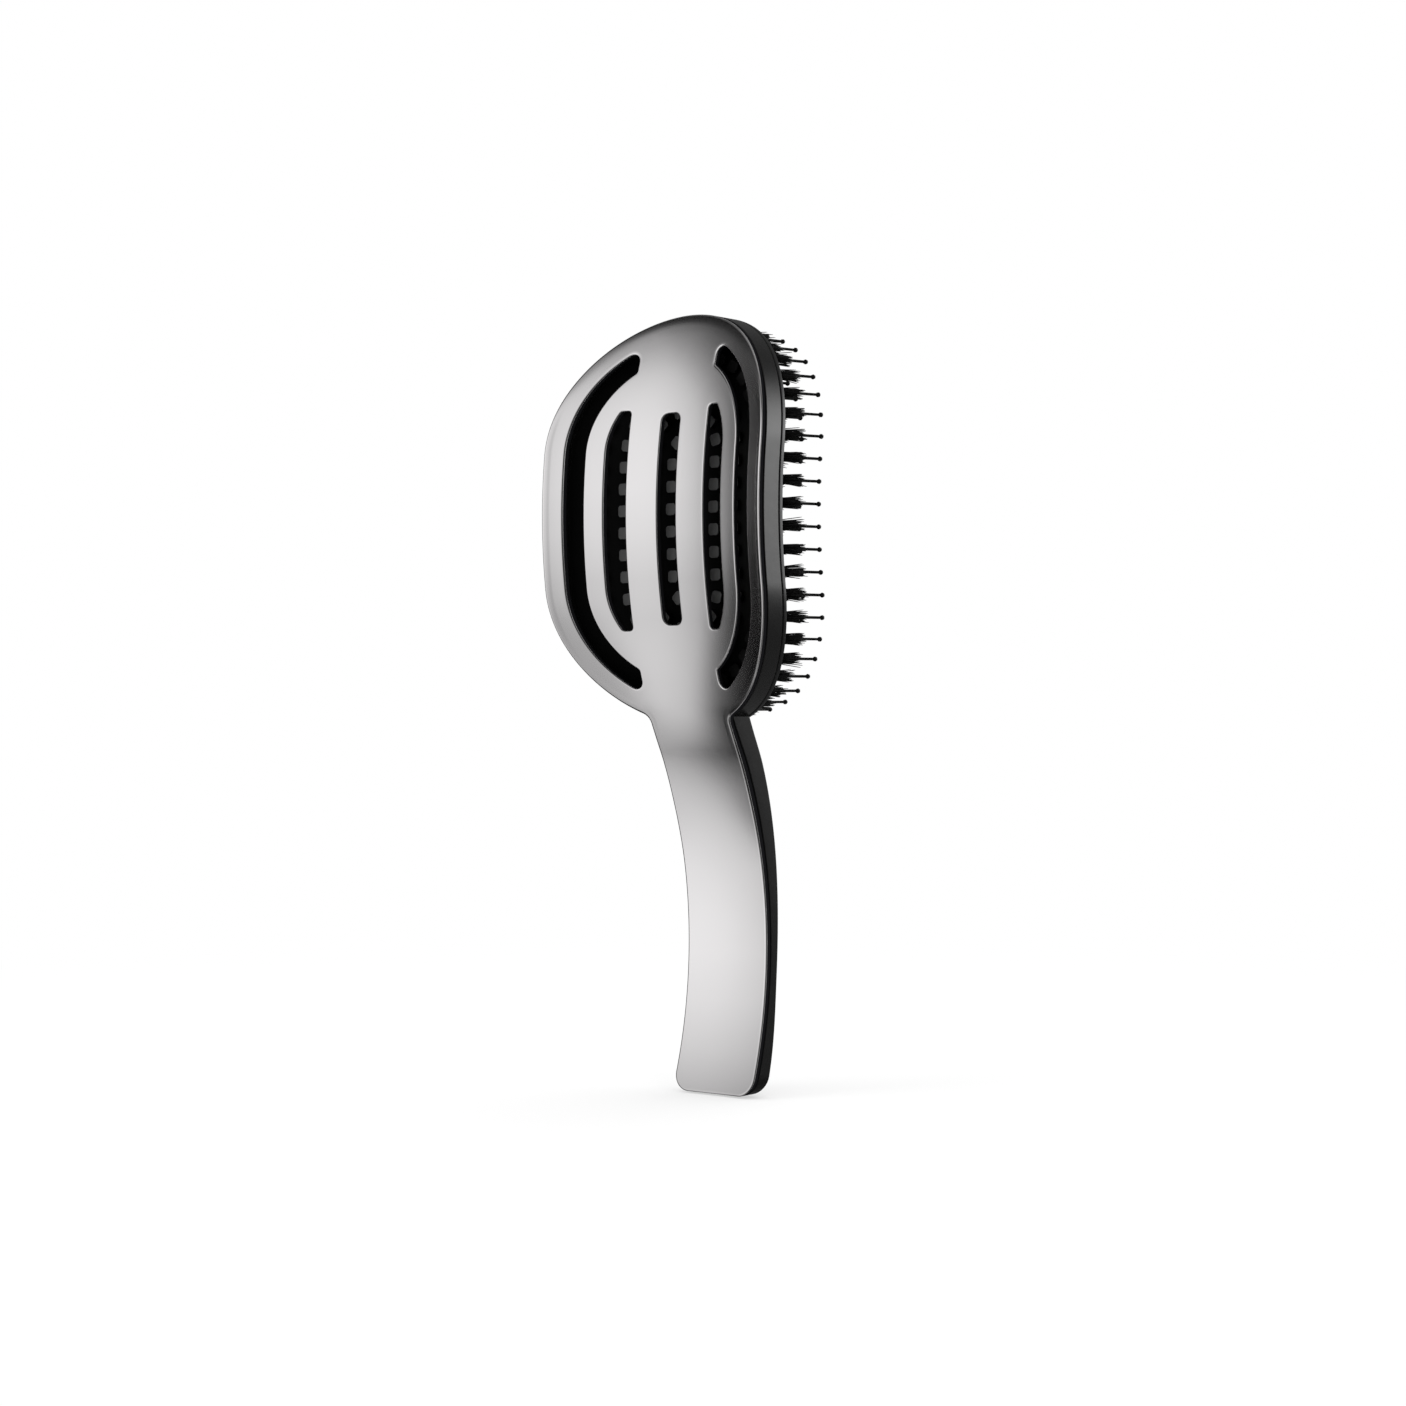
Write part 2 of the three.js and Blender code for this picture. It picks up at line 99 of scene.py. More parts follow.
def place(x, depth, z):
    """Points in the row frame, in metres, from x, the depth behind the plated surface, and z, in millimetres."""
    x, depth, z = np.broadcast_arrays(x, depth, z)
    return np.stack([x, back(x, z) + depth - BUTT_CENTRE, z], axis=-1) * MM


def outline(*arcs, step=OUTLINE_STEP):
    """Closed outline through arcs (x, z, radius, from, to), joined by straight runs, material on its left.
    Gives evenly spaced points and, at each, the unit direction into the material."""
    points, inward = [], []
    ends = []
    for x, z, radius, start, stop in arcs:
        sweep = np.linspace(start, stop, max(5, int(abs(stop - start) * radius / step) + 2))
        radial = np.stack([np.cos(sweep), np.sin(sweep)], axis=-1)
        ends.append(((x, z) + radius * radial, -np.sign(stop - start) * radial))
    for (run, into), (following, _) in zip(ends, ends[1:] + ends[:1]):
        gap = following[0] - run[-1]
        length = np.hypot(*gap)
        count = int(length / step) + 1 if length > 0.05 else 0
        share = np.linspace(0.0, 1.0, count + 1)[1:-1, None] if count > 1 else np.zeros((0, 1))
        left = np.array([-gap[1], gap[0]]) / max(length, 1e-9)
        keep = len(run) if length > 0.05 else len(run) - 1
        points += [run[:keep], run[-1] + share * gap]
        inward += [into[:keep], np.tile(left, (len(share), 1))]
    return np.concatenate(points), np.concatenate(inward)


def stadium(radius):
    """The head's own outline at any radius: two half circles and two straight sides."""
    return outline((0, HEAD_HIGH, radius, 0, np.pi), (0, HEAD_LOW, radius, np.pi, 2 * np.pi))


def inside(points, loops):
    """Which points lie inside the first loop and outside the others, by counting crossed edges."""
    odd = np.zeros(len(points), bool)
    for loop in loops:
        a, b = loop, np.roll(loop, -1, axis=0)
        x, z = points[:, 0:1], points[:, 1:2]
        spans = (a[:, 1] > z) != (b[:, 1] > z)
        rise = np.where(a[:, 1] == b[:, 1], 1.0, b[:, 1] - a[:, 1])
        crossing = a[:, 0] + (z - a[:, 1]) * (b[:, 0] - a[:, 0]) / rise
        odd ^= (np.sum(spans & (x < crossing), axis=1) % 2).astype(bool)
    return odd


def fill(loops, spacing):
    """Triangles over the area between loops, with a square grid of points inside it.
    Returns the grid's points and the triangles, numbered with the loops' points first."""
    rim = np.concatenate(loops)
    low, high = rim.min(0), rim.max(0)
    xs = np.arange(low[0], high[0], spacing)
    zs = np.arange(low[1], high[1], spacing)
    grid = np.stack(np.meshgrid(xs, zs), axis=-1).reshape(-1, 2)
    grid = grid[inside(grid, loops)]
    nearest = np.array([np.min(np.sum((rim - p) ** 2, axis=1)) for p in grid])
    grid = grid[nearest > (GRID_CLEARANCE * spacing) ** 2]
    starts = np.cumsum([0] + [len(loop) for loop in loops])
    edges = [(start + i, start + (i + 1) % len(loop))
             for start, loop in zip(starts, loops) for i in range(len(loop))]
    cloud = np.concatenate([rim, grid])
    found = delaunay_2d_cdt([tuple(p) for p in cloud], edges, [], 0, 1e-6)
    origin = np.array([ids[0] for ids in found[3]])
    triangles = origin[np.array(found[2])]
    corners = cloud[triangles]
    side = corners[:, 1:] - corners[:, :1]
    turn = side[:, 0, 0] * side[:, 1, 1] - side[:, 0, 1] * side[:, 1, 0]
    triangles = np.where(turn[:, None] > 0, triangles, triangles[:, ::-1])
    return grid, triangles[inside(corners.mean(axis=1), loops) & (np.abs(turn) > 1e-9)]


def grid_faces(rows, columns, first=0):
    """Quads of a grid that closes on itself along its rows."""
    row, column = np.meshgrid(np.arange(rows), np.arange(columns - 1), indexing="ij")
    following = (row + 1) % rows
    corners = [row * columns + column, row * columns + column + 1,
               following * columns + column + 1, following * columns + column]
    return first + np.stack(corners, axis=-1).reshape(-1, 4)


def grid_normals(points, closed=True):
    """Unit normals of a grid: the change along its columns crossed with the change along its rows."""
    along = np.roll(points, -1, axis=0) - np.roll(points, 1, axis=0) if closed else np.gradient(points, axis=0)
    across = np.gradient(points, axis=1)
    normal = np.cross(across, along)
    return normal / np.maximum(np.linalg.norm(normal, axis=-1, keepdims=True), 1e-12)


def make_piece(name, points, faces, normals, material, marks=None):
    """A mesh object at the origin with its own normals, and marks as a point attribute that its material reads."""
    mesh = bpy.data.meshes.new(name)
    mesh.from_pydata(points.tolist(), [], [face for group in faces for face in group.tolist()])
    mesh.polygons.foreach_set("use_smooth", np.ones(len(mesh.polygons), bool))
    if normals is not None:
        mesh.normals_split_custom_set_from_vertices(normals.tolist())
    if marks is not None:
        mesh.attributes.new("mark", "FLOAT", "POINT").data.foreach_set("value", marks)
    mesh.materials.append(material)
    piece = bpy.data.objects.new(name, mesh)
    bpy.context.scene.collection.objects.link(piece)
    return piece


def sheet(edges, surface, spacing):
    """A closed sheet with shaped edges. Each edge is (outline, insets, heights, marks): its profile runs from the
    back, round the rim, to the front. Both faces between the innermost points of the edges are filled.
    surface(x, z, height) places a point."""
    points, faces, normals, marked = [], [], [], []
    first = 0
    back_rims, front_rims, back_loops, front_loops = [], [], [], []
    for (base, into), insets, heights, marks in edges:
        ground = base[:, None, :] + into[:, None, :] * np.asarray(insets)[None, :, None]
        grid = surface(ground[..., 0], ground[..., 1], np.broadcast_to(heights, ground.shape[:2]))
        rows, columns = ground.shape[:2]
        points.append(grid.reshape(-1, 3))
        normals.append(grid_normals(grid).reshape(-1, 3))
        marked.append(np.tile(marks, rows))
        faces.append(grid_faces(rows, columns, first))
        numbers = first + np.arange(rows) * columns
        back_rims.append(numbers)
        front_rims.append(numbers + columns - 1)
        back_loops.append(ground[:, 0])
        front_loops.append(ground[:, -1])
        first += rows * columns
    for loops, rims, end, turn in ((back_loops, back_rims, 0, 1), (front_loops, front_rims, -1, -1)):
        height, mark = edges[0][2][end], edges[0][3][end]
        middle, triangles = fill(loops, spacing)
        numbers = np.concatenate(rims + [first + np.arange(len(middle))])
        points.append(surface(middle[:, 0], middle[:, 1], np.full(len(middle), height)))
        here = points[-1]
        east = surface(middle[:, 0] + SLOPE_STEP, middle[:, 1], np.full(len(middle), height)) - here
        north = surface(middle[:, 0], middle[:, 1] + SLOPE_STEP, np.full(len(middle), height)) - here
        normal = np.cross(east, north) * turn
        normals.append(normal / np.linalg.norm(normal, axis=-1, keepdims=True))
        marked.append(np.full(len(middle), float(mark)))
        faces.append(numbers[triangles][:, ::turn])
        first += len(middle)
    return np.concatenate(points), faces, np.concatenate(normals), np.concatenate(marked)


def fillet(radius, depth, steps):
    """Insets and heights of a rounded edge: a quarter circle that starts level at depth and ends upright."""
    turn = np.linspace(0.0, np.pi / 2, steps + 1)
    return radius * (1.0 - np.sin(turn)), depth + radius * (1.0 - np.cos(turn))


RIM_BAND = 6.3
OUTER_VENT = 6.1
VENT_BAR = 6.4
VENT_CUT = 14.5
VENT_CORNER, VENT_TIP = 1.1, 2.2
SIDE_VENT_REACH = 12.4
CENTRE_VENT_HALF, CENTRE_VENT_CORNER, CENTRE_VENT_INSET = 3.4, 2.2, 29.6
RIM_FILLET, VENT_FILLET, INNER_EDGE, BARE_STEP = 0.8, 0.55, 0.25, 0.03
# From this share of a lip's depth the cover is bare black, which is also painted shade on its side faces.
BARE_SHADED_SHARE = 0.5
BEAD_HEIGHT, BEAD_INNER, BEAD_OUTER = 0.05, 2.5, 1.3
RIM_RUN, LIP_RUN = [3.4, 3.0, 2.5, 2.3, 2.1, 1.9, 1.7, 1.5, 1.3], [1.9, 1.3]
FRONT_INSET, LIP_STEPS = 0.8, 8
HANDLE_HOLLOW, HOLLOW_FADE, HOLLOW_END = 0.85, 50.0, 113.0
SIDE_LIFT, LIFT_START, LIFT_RISE, LIFT_FALL = 0.5, 66.0, 24.0, 15.0
TOP_ROLL, ROLL_WIDTH, ROLL_START, ROLL_RISE = 0.4, 3.4, 196.0, 20.0
BRUSH_LENGTH = 0.230
# The bare black past the lips is also painted shade, for the side faces' dark reflection.
CHROME_DARK, CHROME_PALE, BARE_SHADED_BLACK = (0.775, 0.76, 0.765, 1), (0.825, 0.81, 0.815, 1), (0.008, 0.008, 0.009, 1)
# Painted shade on the plating: its colour's level by height up the brush, darker towards the butt and over the
# lower head.
PAINTED_SHADE_STOPS = [(0.0, 0.66), (0.05, 0.80), (0.12, 0.96), (0.18, 1.03), (0.49, 1.03), (0.53, 0.93), (0.61, 0.79),
              (0.66, 0.80), (0.72, 0.93), (0.78, 1.0)]


def brush_outline():
    """The head's stadium and the handle's straight sides, filleted at the neck and rounded at the butt."""
    x = HANDLE_HALF + NECK_FILLET
    z = HEAD_LOW - np.sqrt((HEAD_RADIUS + NECK_FILLET) ** 2 - x**2)
    turn = np.arctan2(HEAD_LOW - z, x)
    corner = HANDLE_HALF - BUTT_CORNER
    return outline(
        (0, HEAD_HIGH, HEAD_RADIUS, 0, np.pi),
        (0, HEAD_LOW, HEAD_RADIUS, np.pi, np.pi + turn),
        (-x, z, NECK_FILLET, turn, 0),
        (-corner, BUTT_CORNER, BUTT_CORNER, np.pi, 1.5 * np.pi),
        (corner, BUTT_CORNER, BUTT_CORNER, -0.5 * np.pi, 0),
        (x, z, NECK_FILLET, np.pi, np.pi - turn),
        (0, HEAD_LOW, HEAD_RADIUS, -turn, 0),
    )


def beside(side, points, into):
    """An outline on the +X side as it is wanted round a hole there, or mirrored to the -X side."""
    if side > 0:
        return points[::-1], -into[::-1]
    flip = np.array([-1.0, 1.0])
    return points * flip, -into * flip


def outer_vent(inner, outer, side):
    """A vent between two rings, ended on a straight cut beside the middle rib."""
    tip_x, near_x = VENT_CUT + VENT_TIP, VENT_CUT + VENT_CORNER
    reach = np.sqrt((outer - VENT_TIP) ** 2 - tip_x**2)
    near = np.sqrt((inner + VENT_CORNER) ** 2 - near_x**2)
    turn, near_turn = np.arctan2(reach, tip_x), np.arctan2(near, near_x)
    return beside(side, *outline(
        (0, HEAD_LOW, outer, -turn, 0),
        (0, HEAD_HIGH, outer, 0, turn),
        (tip_x, HEAD_HIGH + reach, VENT_TIP, turn, np.pi),
        (near_x, HEAD_HIGH + near, VENT_CORNER, np.pi, np.pi + near_turn),
        (0, HEAD_HIGH, inner, near_turn, 0),
        (0, HEAD_LOW, inner, 0, -near_turn),
        (near_x, HEAD_LOW - near, VENT_CORNER, np.pi - near_turn, np.pi),
        (tip_x, HEAD_LOW - reach, VENT_TIP, np.pi, 2 * np.pi - turn),
    ))


def side_vent(outer, side):
    """A blunt-ended vent between the straight cut and one ring."""
    cut_x, reach = VENT_CUT + VENT_CORNER, SIDE_VENT_REACH - VENT_CORNER
    ring_x = np.sqrt((outer - VENT_CORNER) ** 2 - reach**2)
    turn = np.arctan2(reach, ring_x)
    return beside(side, *outline(
        (0, HEAD_LOW, outer, -turn, 0),
        (0, HEAD_HIGH, outer, 0, turn),
        (ring_x, HEAD_HIGH + reach, VENT_CORNER, turn, 0.5 * np.pi),
        (cut_x, HEAD_HIGH + reach, VENT_CORNER, 0.5 * np.pi, np.pi),
        (cut_x, HEAD_LOW - reach, VENT_CORNER, np.pi, 1.5 * np.pi),
        (ring_x, HEAD_LOW - reach, VENT_CORNER, -0.5 * np.pi, -turn),
    ))


def slot(half_width, low, high, corner):
    """A straight vent with rounded corners, run clockwise so that the material lies on its left."""
    x, top, bottom = half_width - corner, high - corner, low + corner
    return outline(
        (-x, top, corner, np.pi, 0.5 * np.pi),
        (x, top, corner, 0.5 * np.pi, 0),
        (x, bottom, corner, 0, -0.5 * np.pi),
        (-x, bottom, corner, -0.5 * np.pi, -np.pi),
        step=SLOT_STEP,
    )


class Value:
    """A shader socket that takes part in Python arithmetic, each operator adding one Math node."""

    def __init__(self, paint, socket):
        self.paint, self.socket = paint, socket

    def _math(self, operation, first, second):
        return self.paint.node("ShaderNodeMath", {"operation": operation}, {0: first, 1: second})

    def __add__(self, other):
        return self._math("ADD", self, other)

    def __sub__(self, other):
        return self._math("SUBTRACT", self, other)

    def __rsub__(self, other):
        return self._math("SUBTRACT", other, self)

    def __mul__(self, other):
        return self._math("MULTIPLY", self, other)

    def largest(self, other):
        return self._math("MAXIMUM", self, other)

    def angle_from(self, other):
        """The angle of the arm whose sine is this value and whose cosine is the other."""
        return self._math("ARCTAN2", self, other)

    __radd__ = __add__
    __rmul__ = __mul__


class Paint:
    """One material or world and the nodes in it."""

    def __init__(self, owner):
        owner.use_nodes = True
        self.owner, self.tree = owner, owner.node_tree
        self.tree.nodes.clear()

    def ramp(self, value, stops):
        """A level that follows a value between 0 and 1 through (position, level) stops."""
        colours = [(position, (level, level, level, 1)) for position, level in stops]
        return self.node("ShaderNodeValToRGB", {"stops": colours}, {"Fac": value}, output="Color")

    def node(self, kind, settings=None, inputs=None, output=0):
        """Adds a node: its settings first, then the value or the link of each socket."""
        made = self.tree.nodes.new(kind)
        for key, value in (settings or {}).items():
            if key == "stops":
                while len(made.color_ramp.elements) < len(value):
                    made.color_ramp.elements.new(0.5)
                for element, (position, colour) in zip(made.color_ramp.elements, value):
                    element.position, element.color = position, colour
            else:
                setattr(made, key, value)
        for key, value in (inputs or {}).items():
            socket = made.inputs[key]
            if isinstance(value, Value):
                self.tree.links.new(value.socket, socket)
            else:
                socket.default_value = value
        return Value(self, made.outputs[output])

    def finish(self, shader, kind="ShaderNodeOutputMaterial"):
        """Links the shader to the output and returns the material or world."""
        output = self.tree.nodes.new(kind)
        self.tree.links.new(shader.socket, output.inputs["Surface"])
        return self.owner


def noise(paint, scale, detail):
    """Fractal noise over object coordinates, scale in cycles per metre."""
    coordinates = paint.node("ShaderNodeTexCoord", output="Object")
    return paint.node("ShaderNodeTexNoise", {}, {"Vector": coordinates, "Scale": scale, "Detail": detail},
                      output="Fac")


def blend(paint, share, first, second, kind="MIX"):
    """A colour between two, by a share."""
    return paint.node("ShaderNodeMix", {"data_type": "RGBA", "blend_type": kind},
                      {"Factor": share, "A": first, "B": second}, output="Result")


def plated():
    """Dark chrome plating: a cloudy haze in its roughness, a faint ripple from the moulding under it, and painted
    shade in its colour, darker towards the butt and over the lower head in place of darker reflections there.
    Where the mark is 1, past the rounded lips, the black plastic is bare, and its black is also painted shade
    for the side faces' dark reflection."""
    paint = Paint(bpy.data.materials.new("dark_chrome_plating"))
    cloud = noise(paint, 45.0, 4.0)
    ripple = noise(paint, 160.0, 2.0)
    bare_and_shaded = paint.node("ShaderNodeAttribute", {"attribute_name": "mark"}, output="Fac")
    spot = paint.node("ShaderNodeTexCoord", output="Object")
    height = paint.node("ShaderNodeSeparateXYZ", {}, {0: spot}, output="Z")
    # Painted shade: a ramp over height darkens the plating's colour.
    painted_shade = paint.ramp(height * (1.0 / BRUSH_LENGTH), PAINTED_SHADE_STOPS)
    shaded_plating = blend(paint, 1.0, blend(paint, cloud, CHROME_DARK, CHROME_PALE), painted_shade, "MULTIPLY")
    # Past the lips the colour turns bare black, also painted shade for the side faces.
    tint = blend(paint, bare_and_shaded, shaded_plating, BARE_SHADED_BLACK)
    bump = paint.node("ShaderNodeBump", {}, {"Strength": 0.02, "Distance": 0.0004, "Height": ripple})
    shader = paint.node("ShaderNodeBsdfPrincipled", {},
                        {"Base Color": tint, "Metallic": 1.0 - bare_and_shaded, "Specular IOR Level": 0.0,
                         "Roughness": 0.15 + 0.07 * cloud + 0.3 * bare_and_shaded, "Normal": bump})
    return paint.finish(shader)


def cover_edge(radius, depth, run):
    """Profile of one edge: in along the back over run, which steps up to the rim's low bead, then round the
    plated lip, down the bare black side and in along the front. Marked 1 from a share of the lip's depth onwards,
    where the black is also painted shade for the side faces' dark reflection."""
    run = np.array(run)
    step = depth + (BEAD_HEIGHT - depth) * smooth((run - BEAD_OUTER) / (BEAD_INNER - BEAD_OUTER))
    turn, level = fillet(radius, depth, LIP_STEPS)
    bare_and_shaded = level[-1] + BARE_STEP
    insets = np.concatenate([run, turn, [0.0, 0.0, INNER_EDGE, FRONT_INSET * run[0]]])
    heights = np.concatenate([step, level, [bare_and_shaded, COVER_THICK - INNER_EDGE, COVER_THICK, COVER_THICK]])
    return insets, heights, heights > depth + BARE_SHADED_SHARE * radius


def cover_point(x, z, depth):
    """A point of the cover. Along the handle its back is hollowed across, deepest in the middle and nothing at
    the edges: sink (1 - (x / half width)^2), faded out up the neck by a smoothstep. In the upper handle the sides
    are lifted by lift (x / half width)^2 as well. Round the top the band along the rim rolls off by the square
    of the way across it. The low bead fades out towards the handle and the top."""
    across = np.minimum((x / HANDLE_HALF)**2, 1.0)
    sink = HANDLE_HOLLOW * smooth((HOLLOW_END - z) / (HOLLOW_END - HOLLOW_FADE)) * (1.0 - across)
    lift = SIDE_LIFT * smooth((z - LIFT_START) / LIFT_RISE) * smooth((HOLLOW_END - z) / LIFT_FALL) * across
    top = smooth((z - ROLL_START) / ROLL_RISE)
    band = np.clip(1.0 - (HEAD_RADIUS - np.hypot(x, z - HEAD_HIGH)) / ROLL_WIDTH, 0.0, 1.0)
    head = smooth((z - DISH_START) / (DISH_FULL - DISH_START)) * (1.0 - top)
    depth = np.where(depth <= BEAD_HEIGHT, depth * head, depth)
    shift = sink - lift + TOP_ROLL * top * band**2
    return place(x, depth + shift * (1.0 - depth / COVER_THICK), z)


rim = cover_edge(RIM_FILLET, 0.0, RIM_RUN)
lip = cover_edge(VENT_FILLET, BEAD_HEIGHT, LIP_RUN)
outer_ring = HEAD_RADIUS - RIM_BAND
inner_ring = outer_ring - OUTER_VENT
side_ring = inner_ring - VENT_BAR
vents = [
    slot(CENTRE_VENT_HALF, HEAD_LOW - HEAD_RADIUS + CENTRE_VENT_INSET,
         HEAD_HIGH + HEAD_RADIUS - CENTRE_VENT_INSET, CENTRE_VENT_CORNER),
    side_vent(side_ring, 1), side_vent(side_ring, -1),
    outer_vent(inner_ring, outer_ring, 1), outer_vent(inner_ring, outer_ring, -1),
]
cover_edges = [(brush_outline(), *rim)] + [(vent, *lip) for vent in vents]
points, faces, normals, bare_and_shaded = sheet(cover_edges, cover_point, COVER_GRID)
back_cover = make_piece("plated_back", points, faces, normals, plated(), bare_and_shaded)
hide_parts("back_cover")
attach(back_cover, "root")


# ------------------------------------------------------------------ head frame
# The black side wall of the head, one closed moulded ring in glossy plastic. Its
# back edge meets the plated cover in a fine dark seam, and the bristle plate's
# flange caps its front edge.

FRAME_WALL = 2.2
FLANGE = 1.7
WALL_EDGE = 0.35
FRAME_SHINE, HANDLE_SHINE = 0.5, 0.12


def gloss_black(name, specular):
    """Glossy black plastic, with a faint ripple and a little dust haze in its roughness."""
    paint = Paint(bpy.data.materials.new(name))
    haze = noise(paint, 220.0, 4.0)
    ripple = noise(paint, 350.0, 2.0)
    bump = paint.node("ShaderNodeBump", {}, {"Strength": 0.06, "Distance": 0.0003, "Height": ripple})
    tint = blend(paint, haze, (0.003, 0.003, 0.003, 1), (0.006, 0.006, 0.006, 1))
    shader = paint.node("ShaderNodeBsdfPrincipled", {},
                        {"Base Color": tint, "Roughness": 0.20 + 0.10 * haze, "Specular IOR Level": specular,
                         "Normal": bump})
    return paint.finish(shader)


def ring_wall(inner, outer, front, behind, edge):
    """A closed ring round the head's outline: a rectangle with rounded corners carried along it."""
    base, into = stadium(outer)
    wide = outer - inner
    turn, level = fillet(edge, 0.0, 3)
    insets = np.concatenate([turn, turn[::-1], wide - turn, wide - turn[::-1]])
    heights = np.concatenate([behind + level, front - level[::-1], front - level, behind + level[::-1]])
    insets, heights = np.append(insets, insets[0]), np.append(heights, heights[0])
    ground = base[:, None, :] + into[:, None, :] * insets[None, :, None]
    grid = place(ground[..., 0], heights, ground[..., 1])[:, :-1]
    rows, columns = grid.shape[:2]
    closed = np.concatenate([grid[:, -1:], grid, grid[:, :1]], axis=1)
    normals = grid_normals(closed)[:, 1:-1]
    quads = grid_faces(rows, columns)
    last = np.arange(rows) * columns + columns - 1
    following = np.roll(last, -1)
    seam = np.stack([last, last - columns + 1, following - columns + 1, following], axis=-1)
    return grid.reshape(-1, 3), [quads, seam], normals.reshape(-1, 3)


head_frame = make_piece("head_side_wall", *ring_wall(
    HEAD_RADIUS - FRAME_WALL, HEAD_RADIUS, HEAD_DEPTH - FLANGE - SEAT_GAP, COVER_THICK + SEAT_GAP, WALL_EDGE),
    gloss_black("glossy_black_plastic", FRAME_SHINE))
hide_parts("head_frame")
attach(head_frame, "root")


# ------------------------------------------------------------------ handle shell
# The black front and sides of the handle, one moulded trough, closed at the butt
# and a little duller than the frame. It meets the head's side wall at the neck, and
# the plated cover closes it.

SHELL_EDGE = 1.3
SHELL_END = HEAD_RADIUS - SEAT_GAP
BOW_START = 88.0
SIDE_ROWS, CORNER_ROWS, CROSS_COLUMNS, EDGE_COLUMNS = 90, 10, 22, 9
BAND_INSETS, BAND_SHARES, BAND_END = [2.8, 0.3, 0.08, 0.0, 0.0], [0.0, 0.0, 0.02, 0.06, 0.5], 2.8


def head_floor(x):
    """Where the head's side wall crosses the handle at a place across it."""
    return HEAD_LOW - np.sqrt(SHELL_END**2 - x**2)


def shell_point(x, share, z):
    """A point of the shell. Share 0 to 1 runs from the seam to the start of the rounding, 1 to 2 on to the front.
    Near the neck the rows bow until the last one follows the head's round side wall."""
    top = head_floor(HANDLE_HALF)
    z = z + (head_floor(x) - top) * smooth((z - BOW_START) / (top - BOW_START))
    wall = COVER_THICK + SEAT_GAP
    rounding = handle_depth(z) - SHELL_EDGE
    depth = np.where(share < 1.0, wall + (rounding - wall) * share, rounding + SHELL_EDGE * (share - 1.0))
    return place(x, depth, z)


def open_faces(rows, columns):
    """Quads of a plain grid."""
    return grid_faces(rows, columns).reshape(rows, columns - 1, 4)[:-1].reshape(-1, 4)


def weld(parts):
    """Joins (points, faces, normals) sets into one and merges the points that coincide."""
    points, faces = join(*[part[:2] for part in parts])
    normals = np.concatenate([part[2] for part in parts])
    number, kept = np.unique(np.round(points / 2e-7).astype(np.int64), axis=0, return_index=True,
                             return_inverse=True)[2:0:-1]
    number = number.reshape(-1)
    total = np.zeros((len(kept), 3))
    np.add.at(total, number, normals)
    return points[kept], [number[group] for group in faces], unit(total)


def join(*parts):
    """Several (points, faces) sets as one."""
    first, points, faces = 0, [], []
    for part_points, part_faces in parts:
        points.append(part_points)
        faces += [group + first for group in part_faces]
        first += len(part_points)
    return np.concatenate(points), faces


def unit(vectors):
    """Vectors scaled to length 1."""
    return vectors / np.maximum(np.linalg.norm(vectors, axis=-1, keepdims=True), 1e-12)


def handle_front_mesh():
    """A band round the outline, from the seam over the rounded edge, and a level face on each side of it.
    The outline runs down the left side, round the butt and up the right side."""
    sides = np.linspace(head_floor(HANDLE_HALF), BUTT_CORNER, SIDE_ROWS)
    turn = np.linspace(0.0, np.pi / 2, CORNER_ROWS)[1:]
    across = np.linspace(0.0, 1.0, CROSS_COLUMNS)[1:-1]
    corner = HANDLE_HALF - BUTT_CORNER
    radial = np.stack([np.cos(turn), np.sin(turn)], axis=-1)
    left = np.concatenate([np.stack([np.full(SIDE_ROWS, -HANDLE_HALF), sides], axis=-1),
                           (-corner, BUTT_CORNER) - BUTT_CORNER * radial])
    into = np.concatenate([np.tile([1.0, 0.0], (SIDE_ROWS, 1)), radial])
    bottom = np.stack([-corner + 2 * corner * across, np.zeros_like(across)], axis=-1)
    flip = np.array([-1.0, 1.0])
    base = np.concatenate([left, bottom, left[::-1] * flip])
    into = np.concatenate([into, np.tile([0.0, 1.0], (len(across), 1)), into[::-1] * flip])

    round_off = np.linspace(0.0, np.pi / 2, EDGE_COLUMNS)
    insets = np.concatenate([BAND_INSETS, SHELL_EDGE * (1 - np.cos(round_off)), [BAND_END]])
    shares = np.concatenate([BAND_SHARES, 1.0 + np.sin(round_off), [2.0]])
    ground = base[:, None, :] + into[:, None, :] * insets[None, :, None]
    band = shell_point(ground[..., 0], np.broadcast_to(shares, ground.shape[:2]), ground[..., 1])[:, ::-1]
    parts = [(band.reshape(-1, 3), [open_faces(*band.shape[:2])[:, ::-1]],
              -grid_normals(band, False).reshape(-1, 3))]

    rows = len(left)
    share_across = np.linspace(0.0, 1.0, CROSS_COLUMNS)[None, :]
    rim = ground[:rows, 0]
    x = rim[:, 0:1] * (1.0 - 2.0 * share_across)
    z = np.broadcast_to(rim[:, 1:2], x.shape)
    for share, outwards in ((2.0, 1), (0.0, -1)):
        face = shell_point(x, np.full(x.shape, share), z)
        quads = open_faces(*x.shape)[:, ::outwards]
        parts.append((face.reshape(-1, 3), [quads], outwards * grid_normals(face, False).reshape(-1, 3)))
    return weld(parts)


handle_shell = make_piece("handle_front", *handle_front_mesh(),
                          gloss_black("handle_black_plastic", HANDLE_SHINE))
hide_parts("handle_shell")
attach(handle_shell, "root")


# ------------------------------------------------------------------ bristle plate
# The dished plate that carries the tufts, moulded in satin black plastic. A thin
# flange caps the frame, air slots run between the rings of tufts, and a square
# boss stands behind each tuft of the four inner rings, seen through the cover's vents.

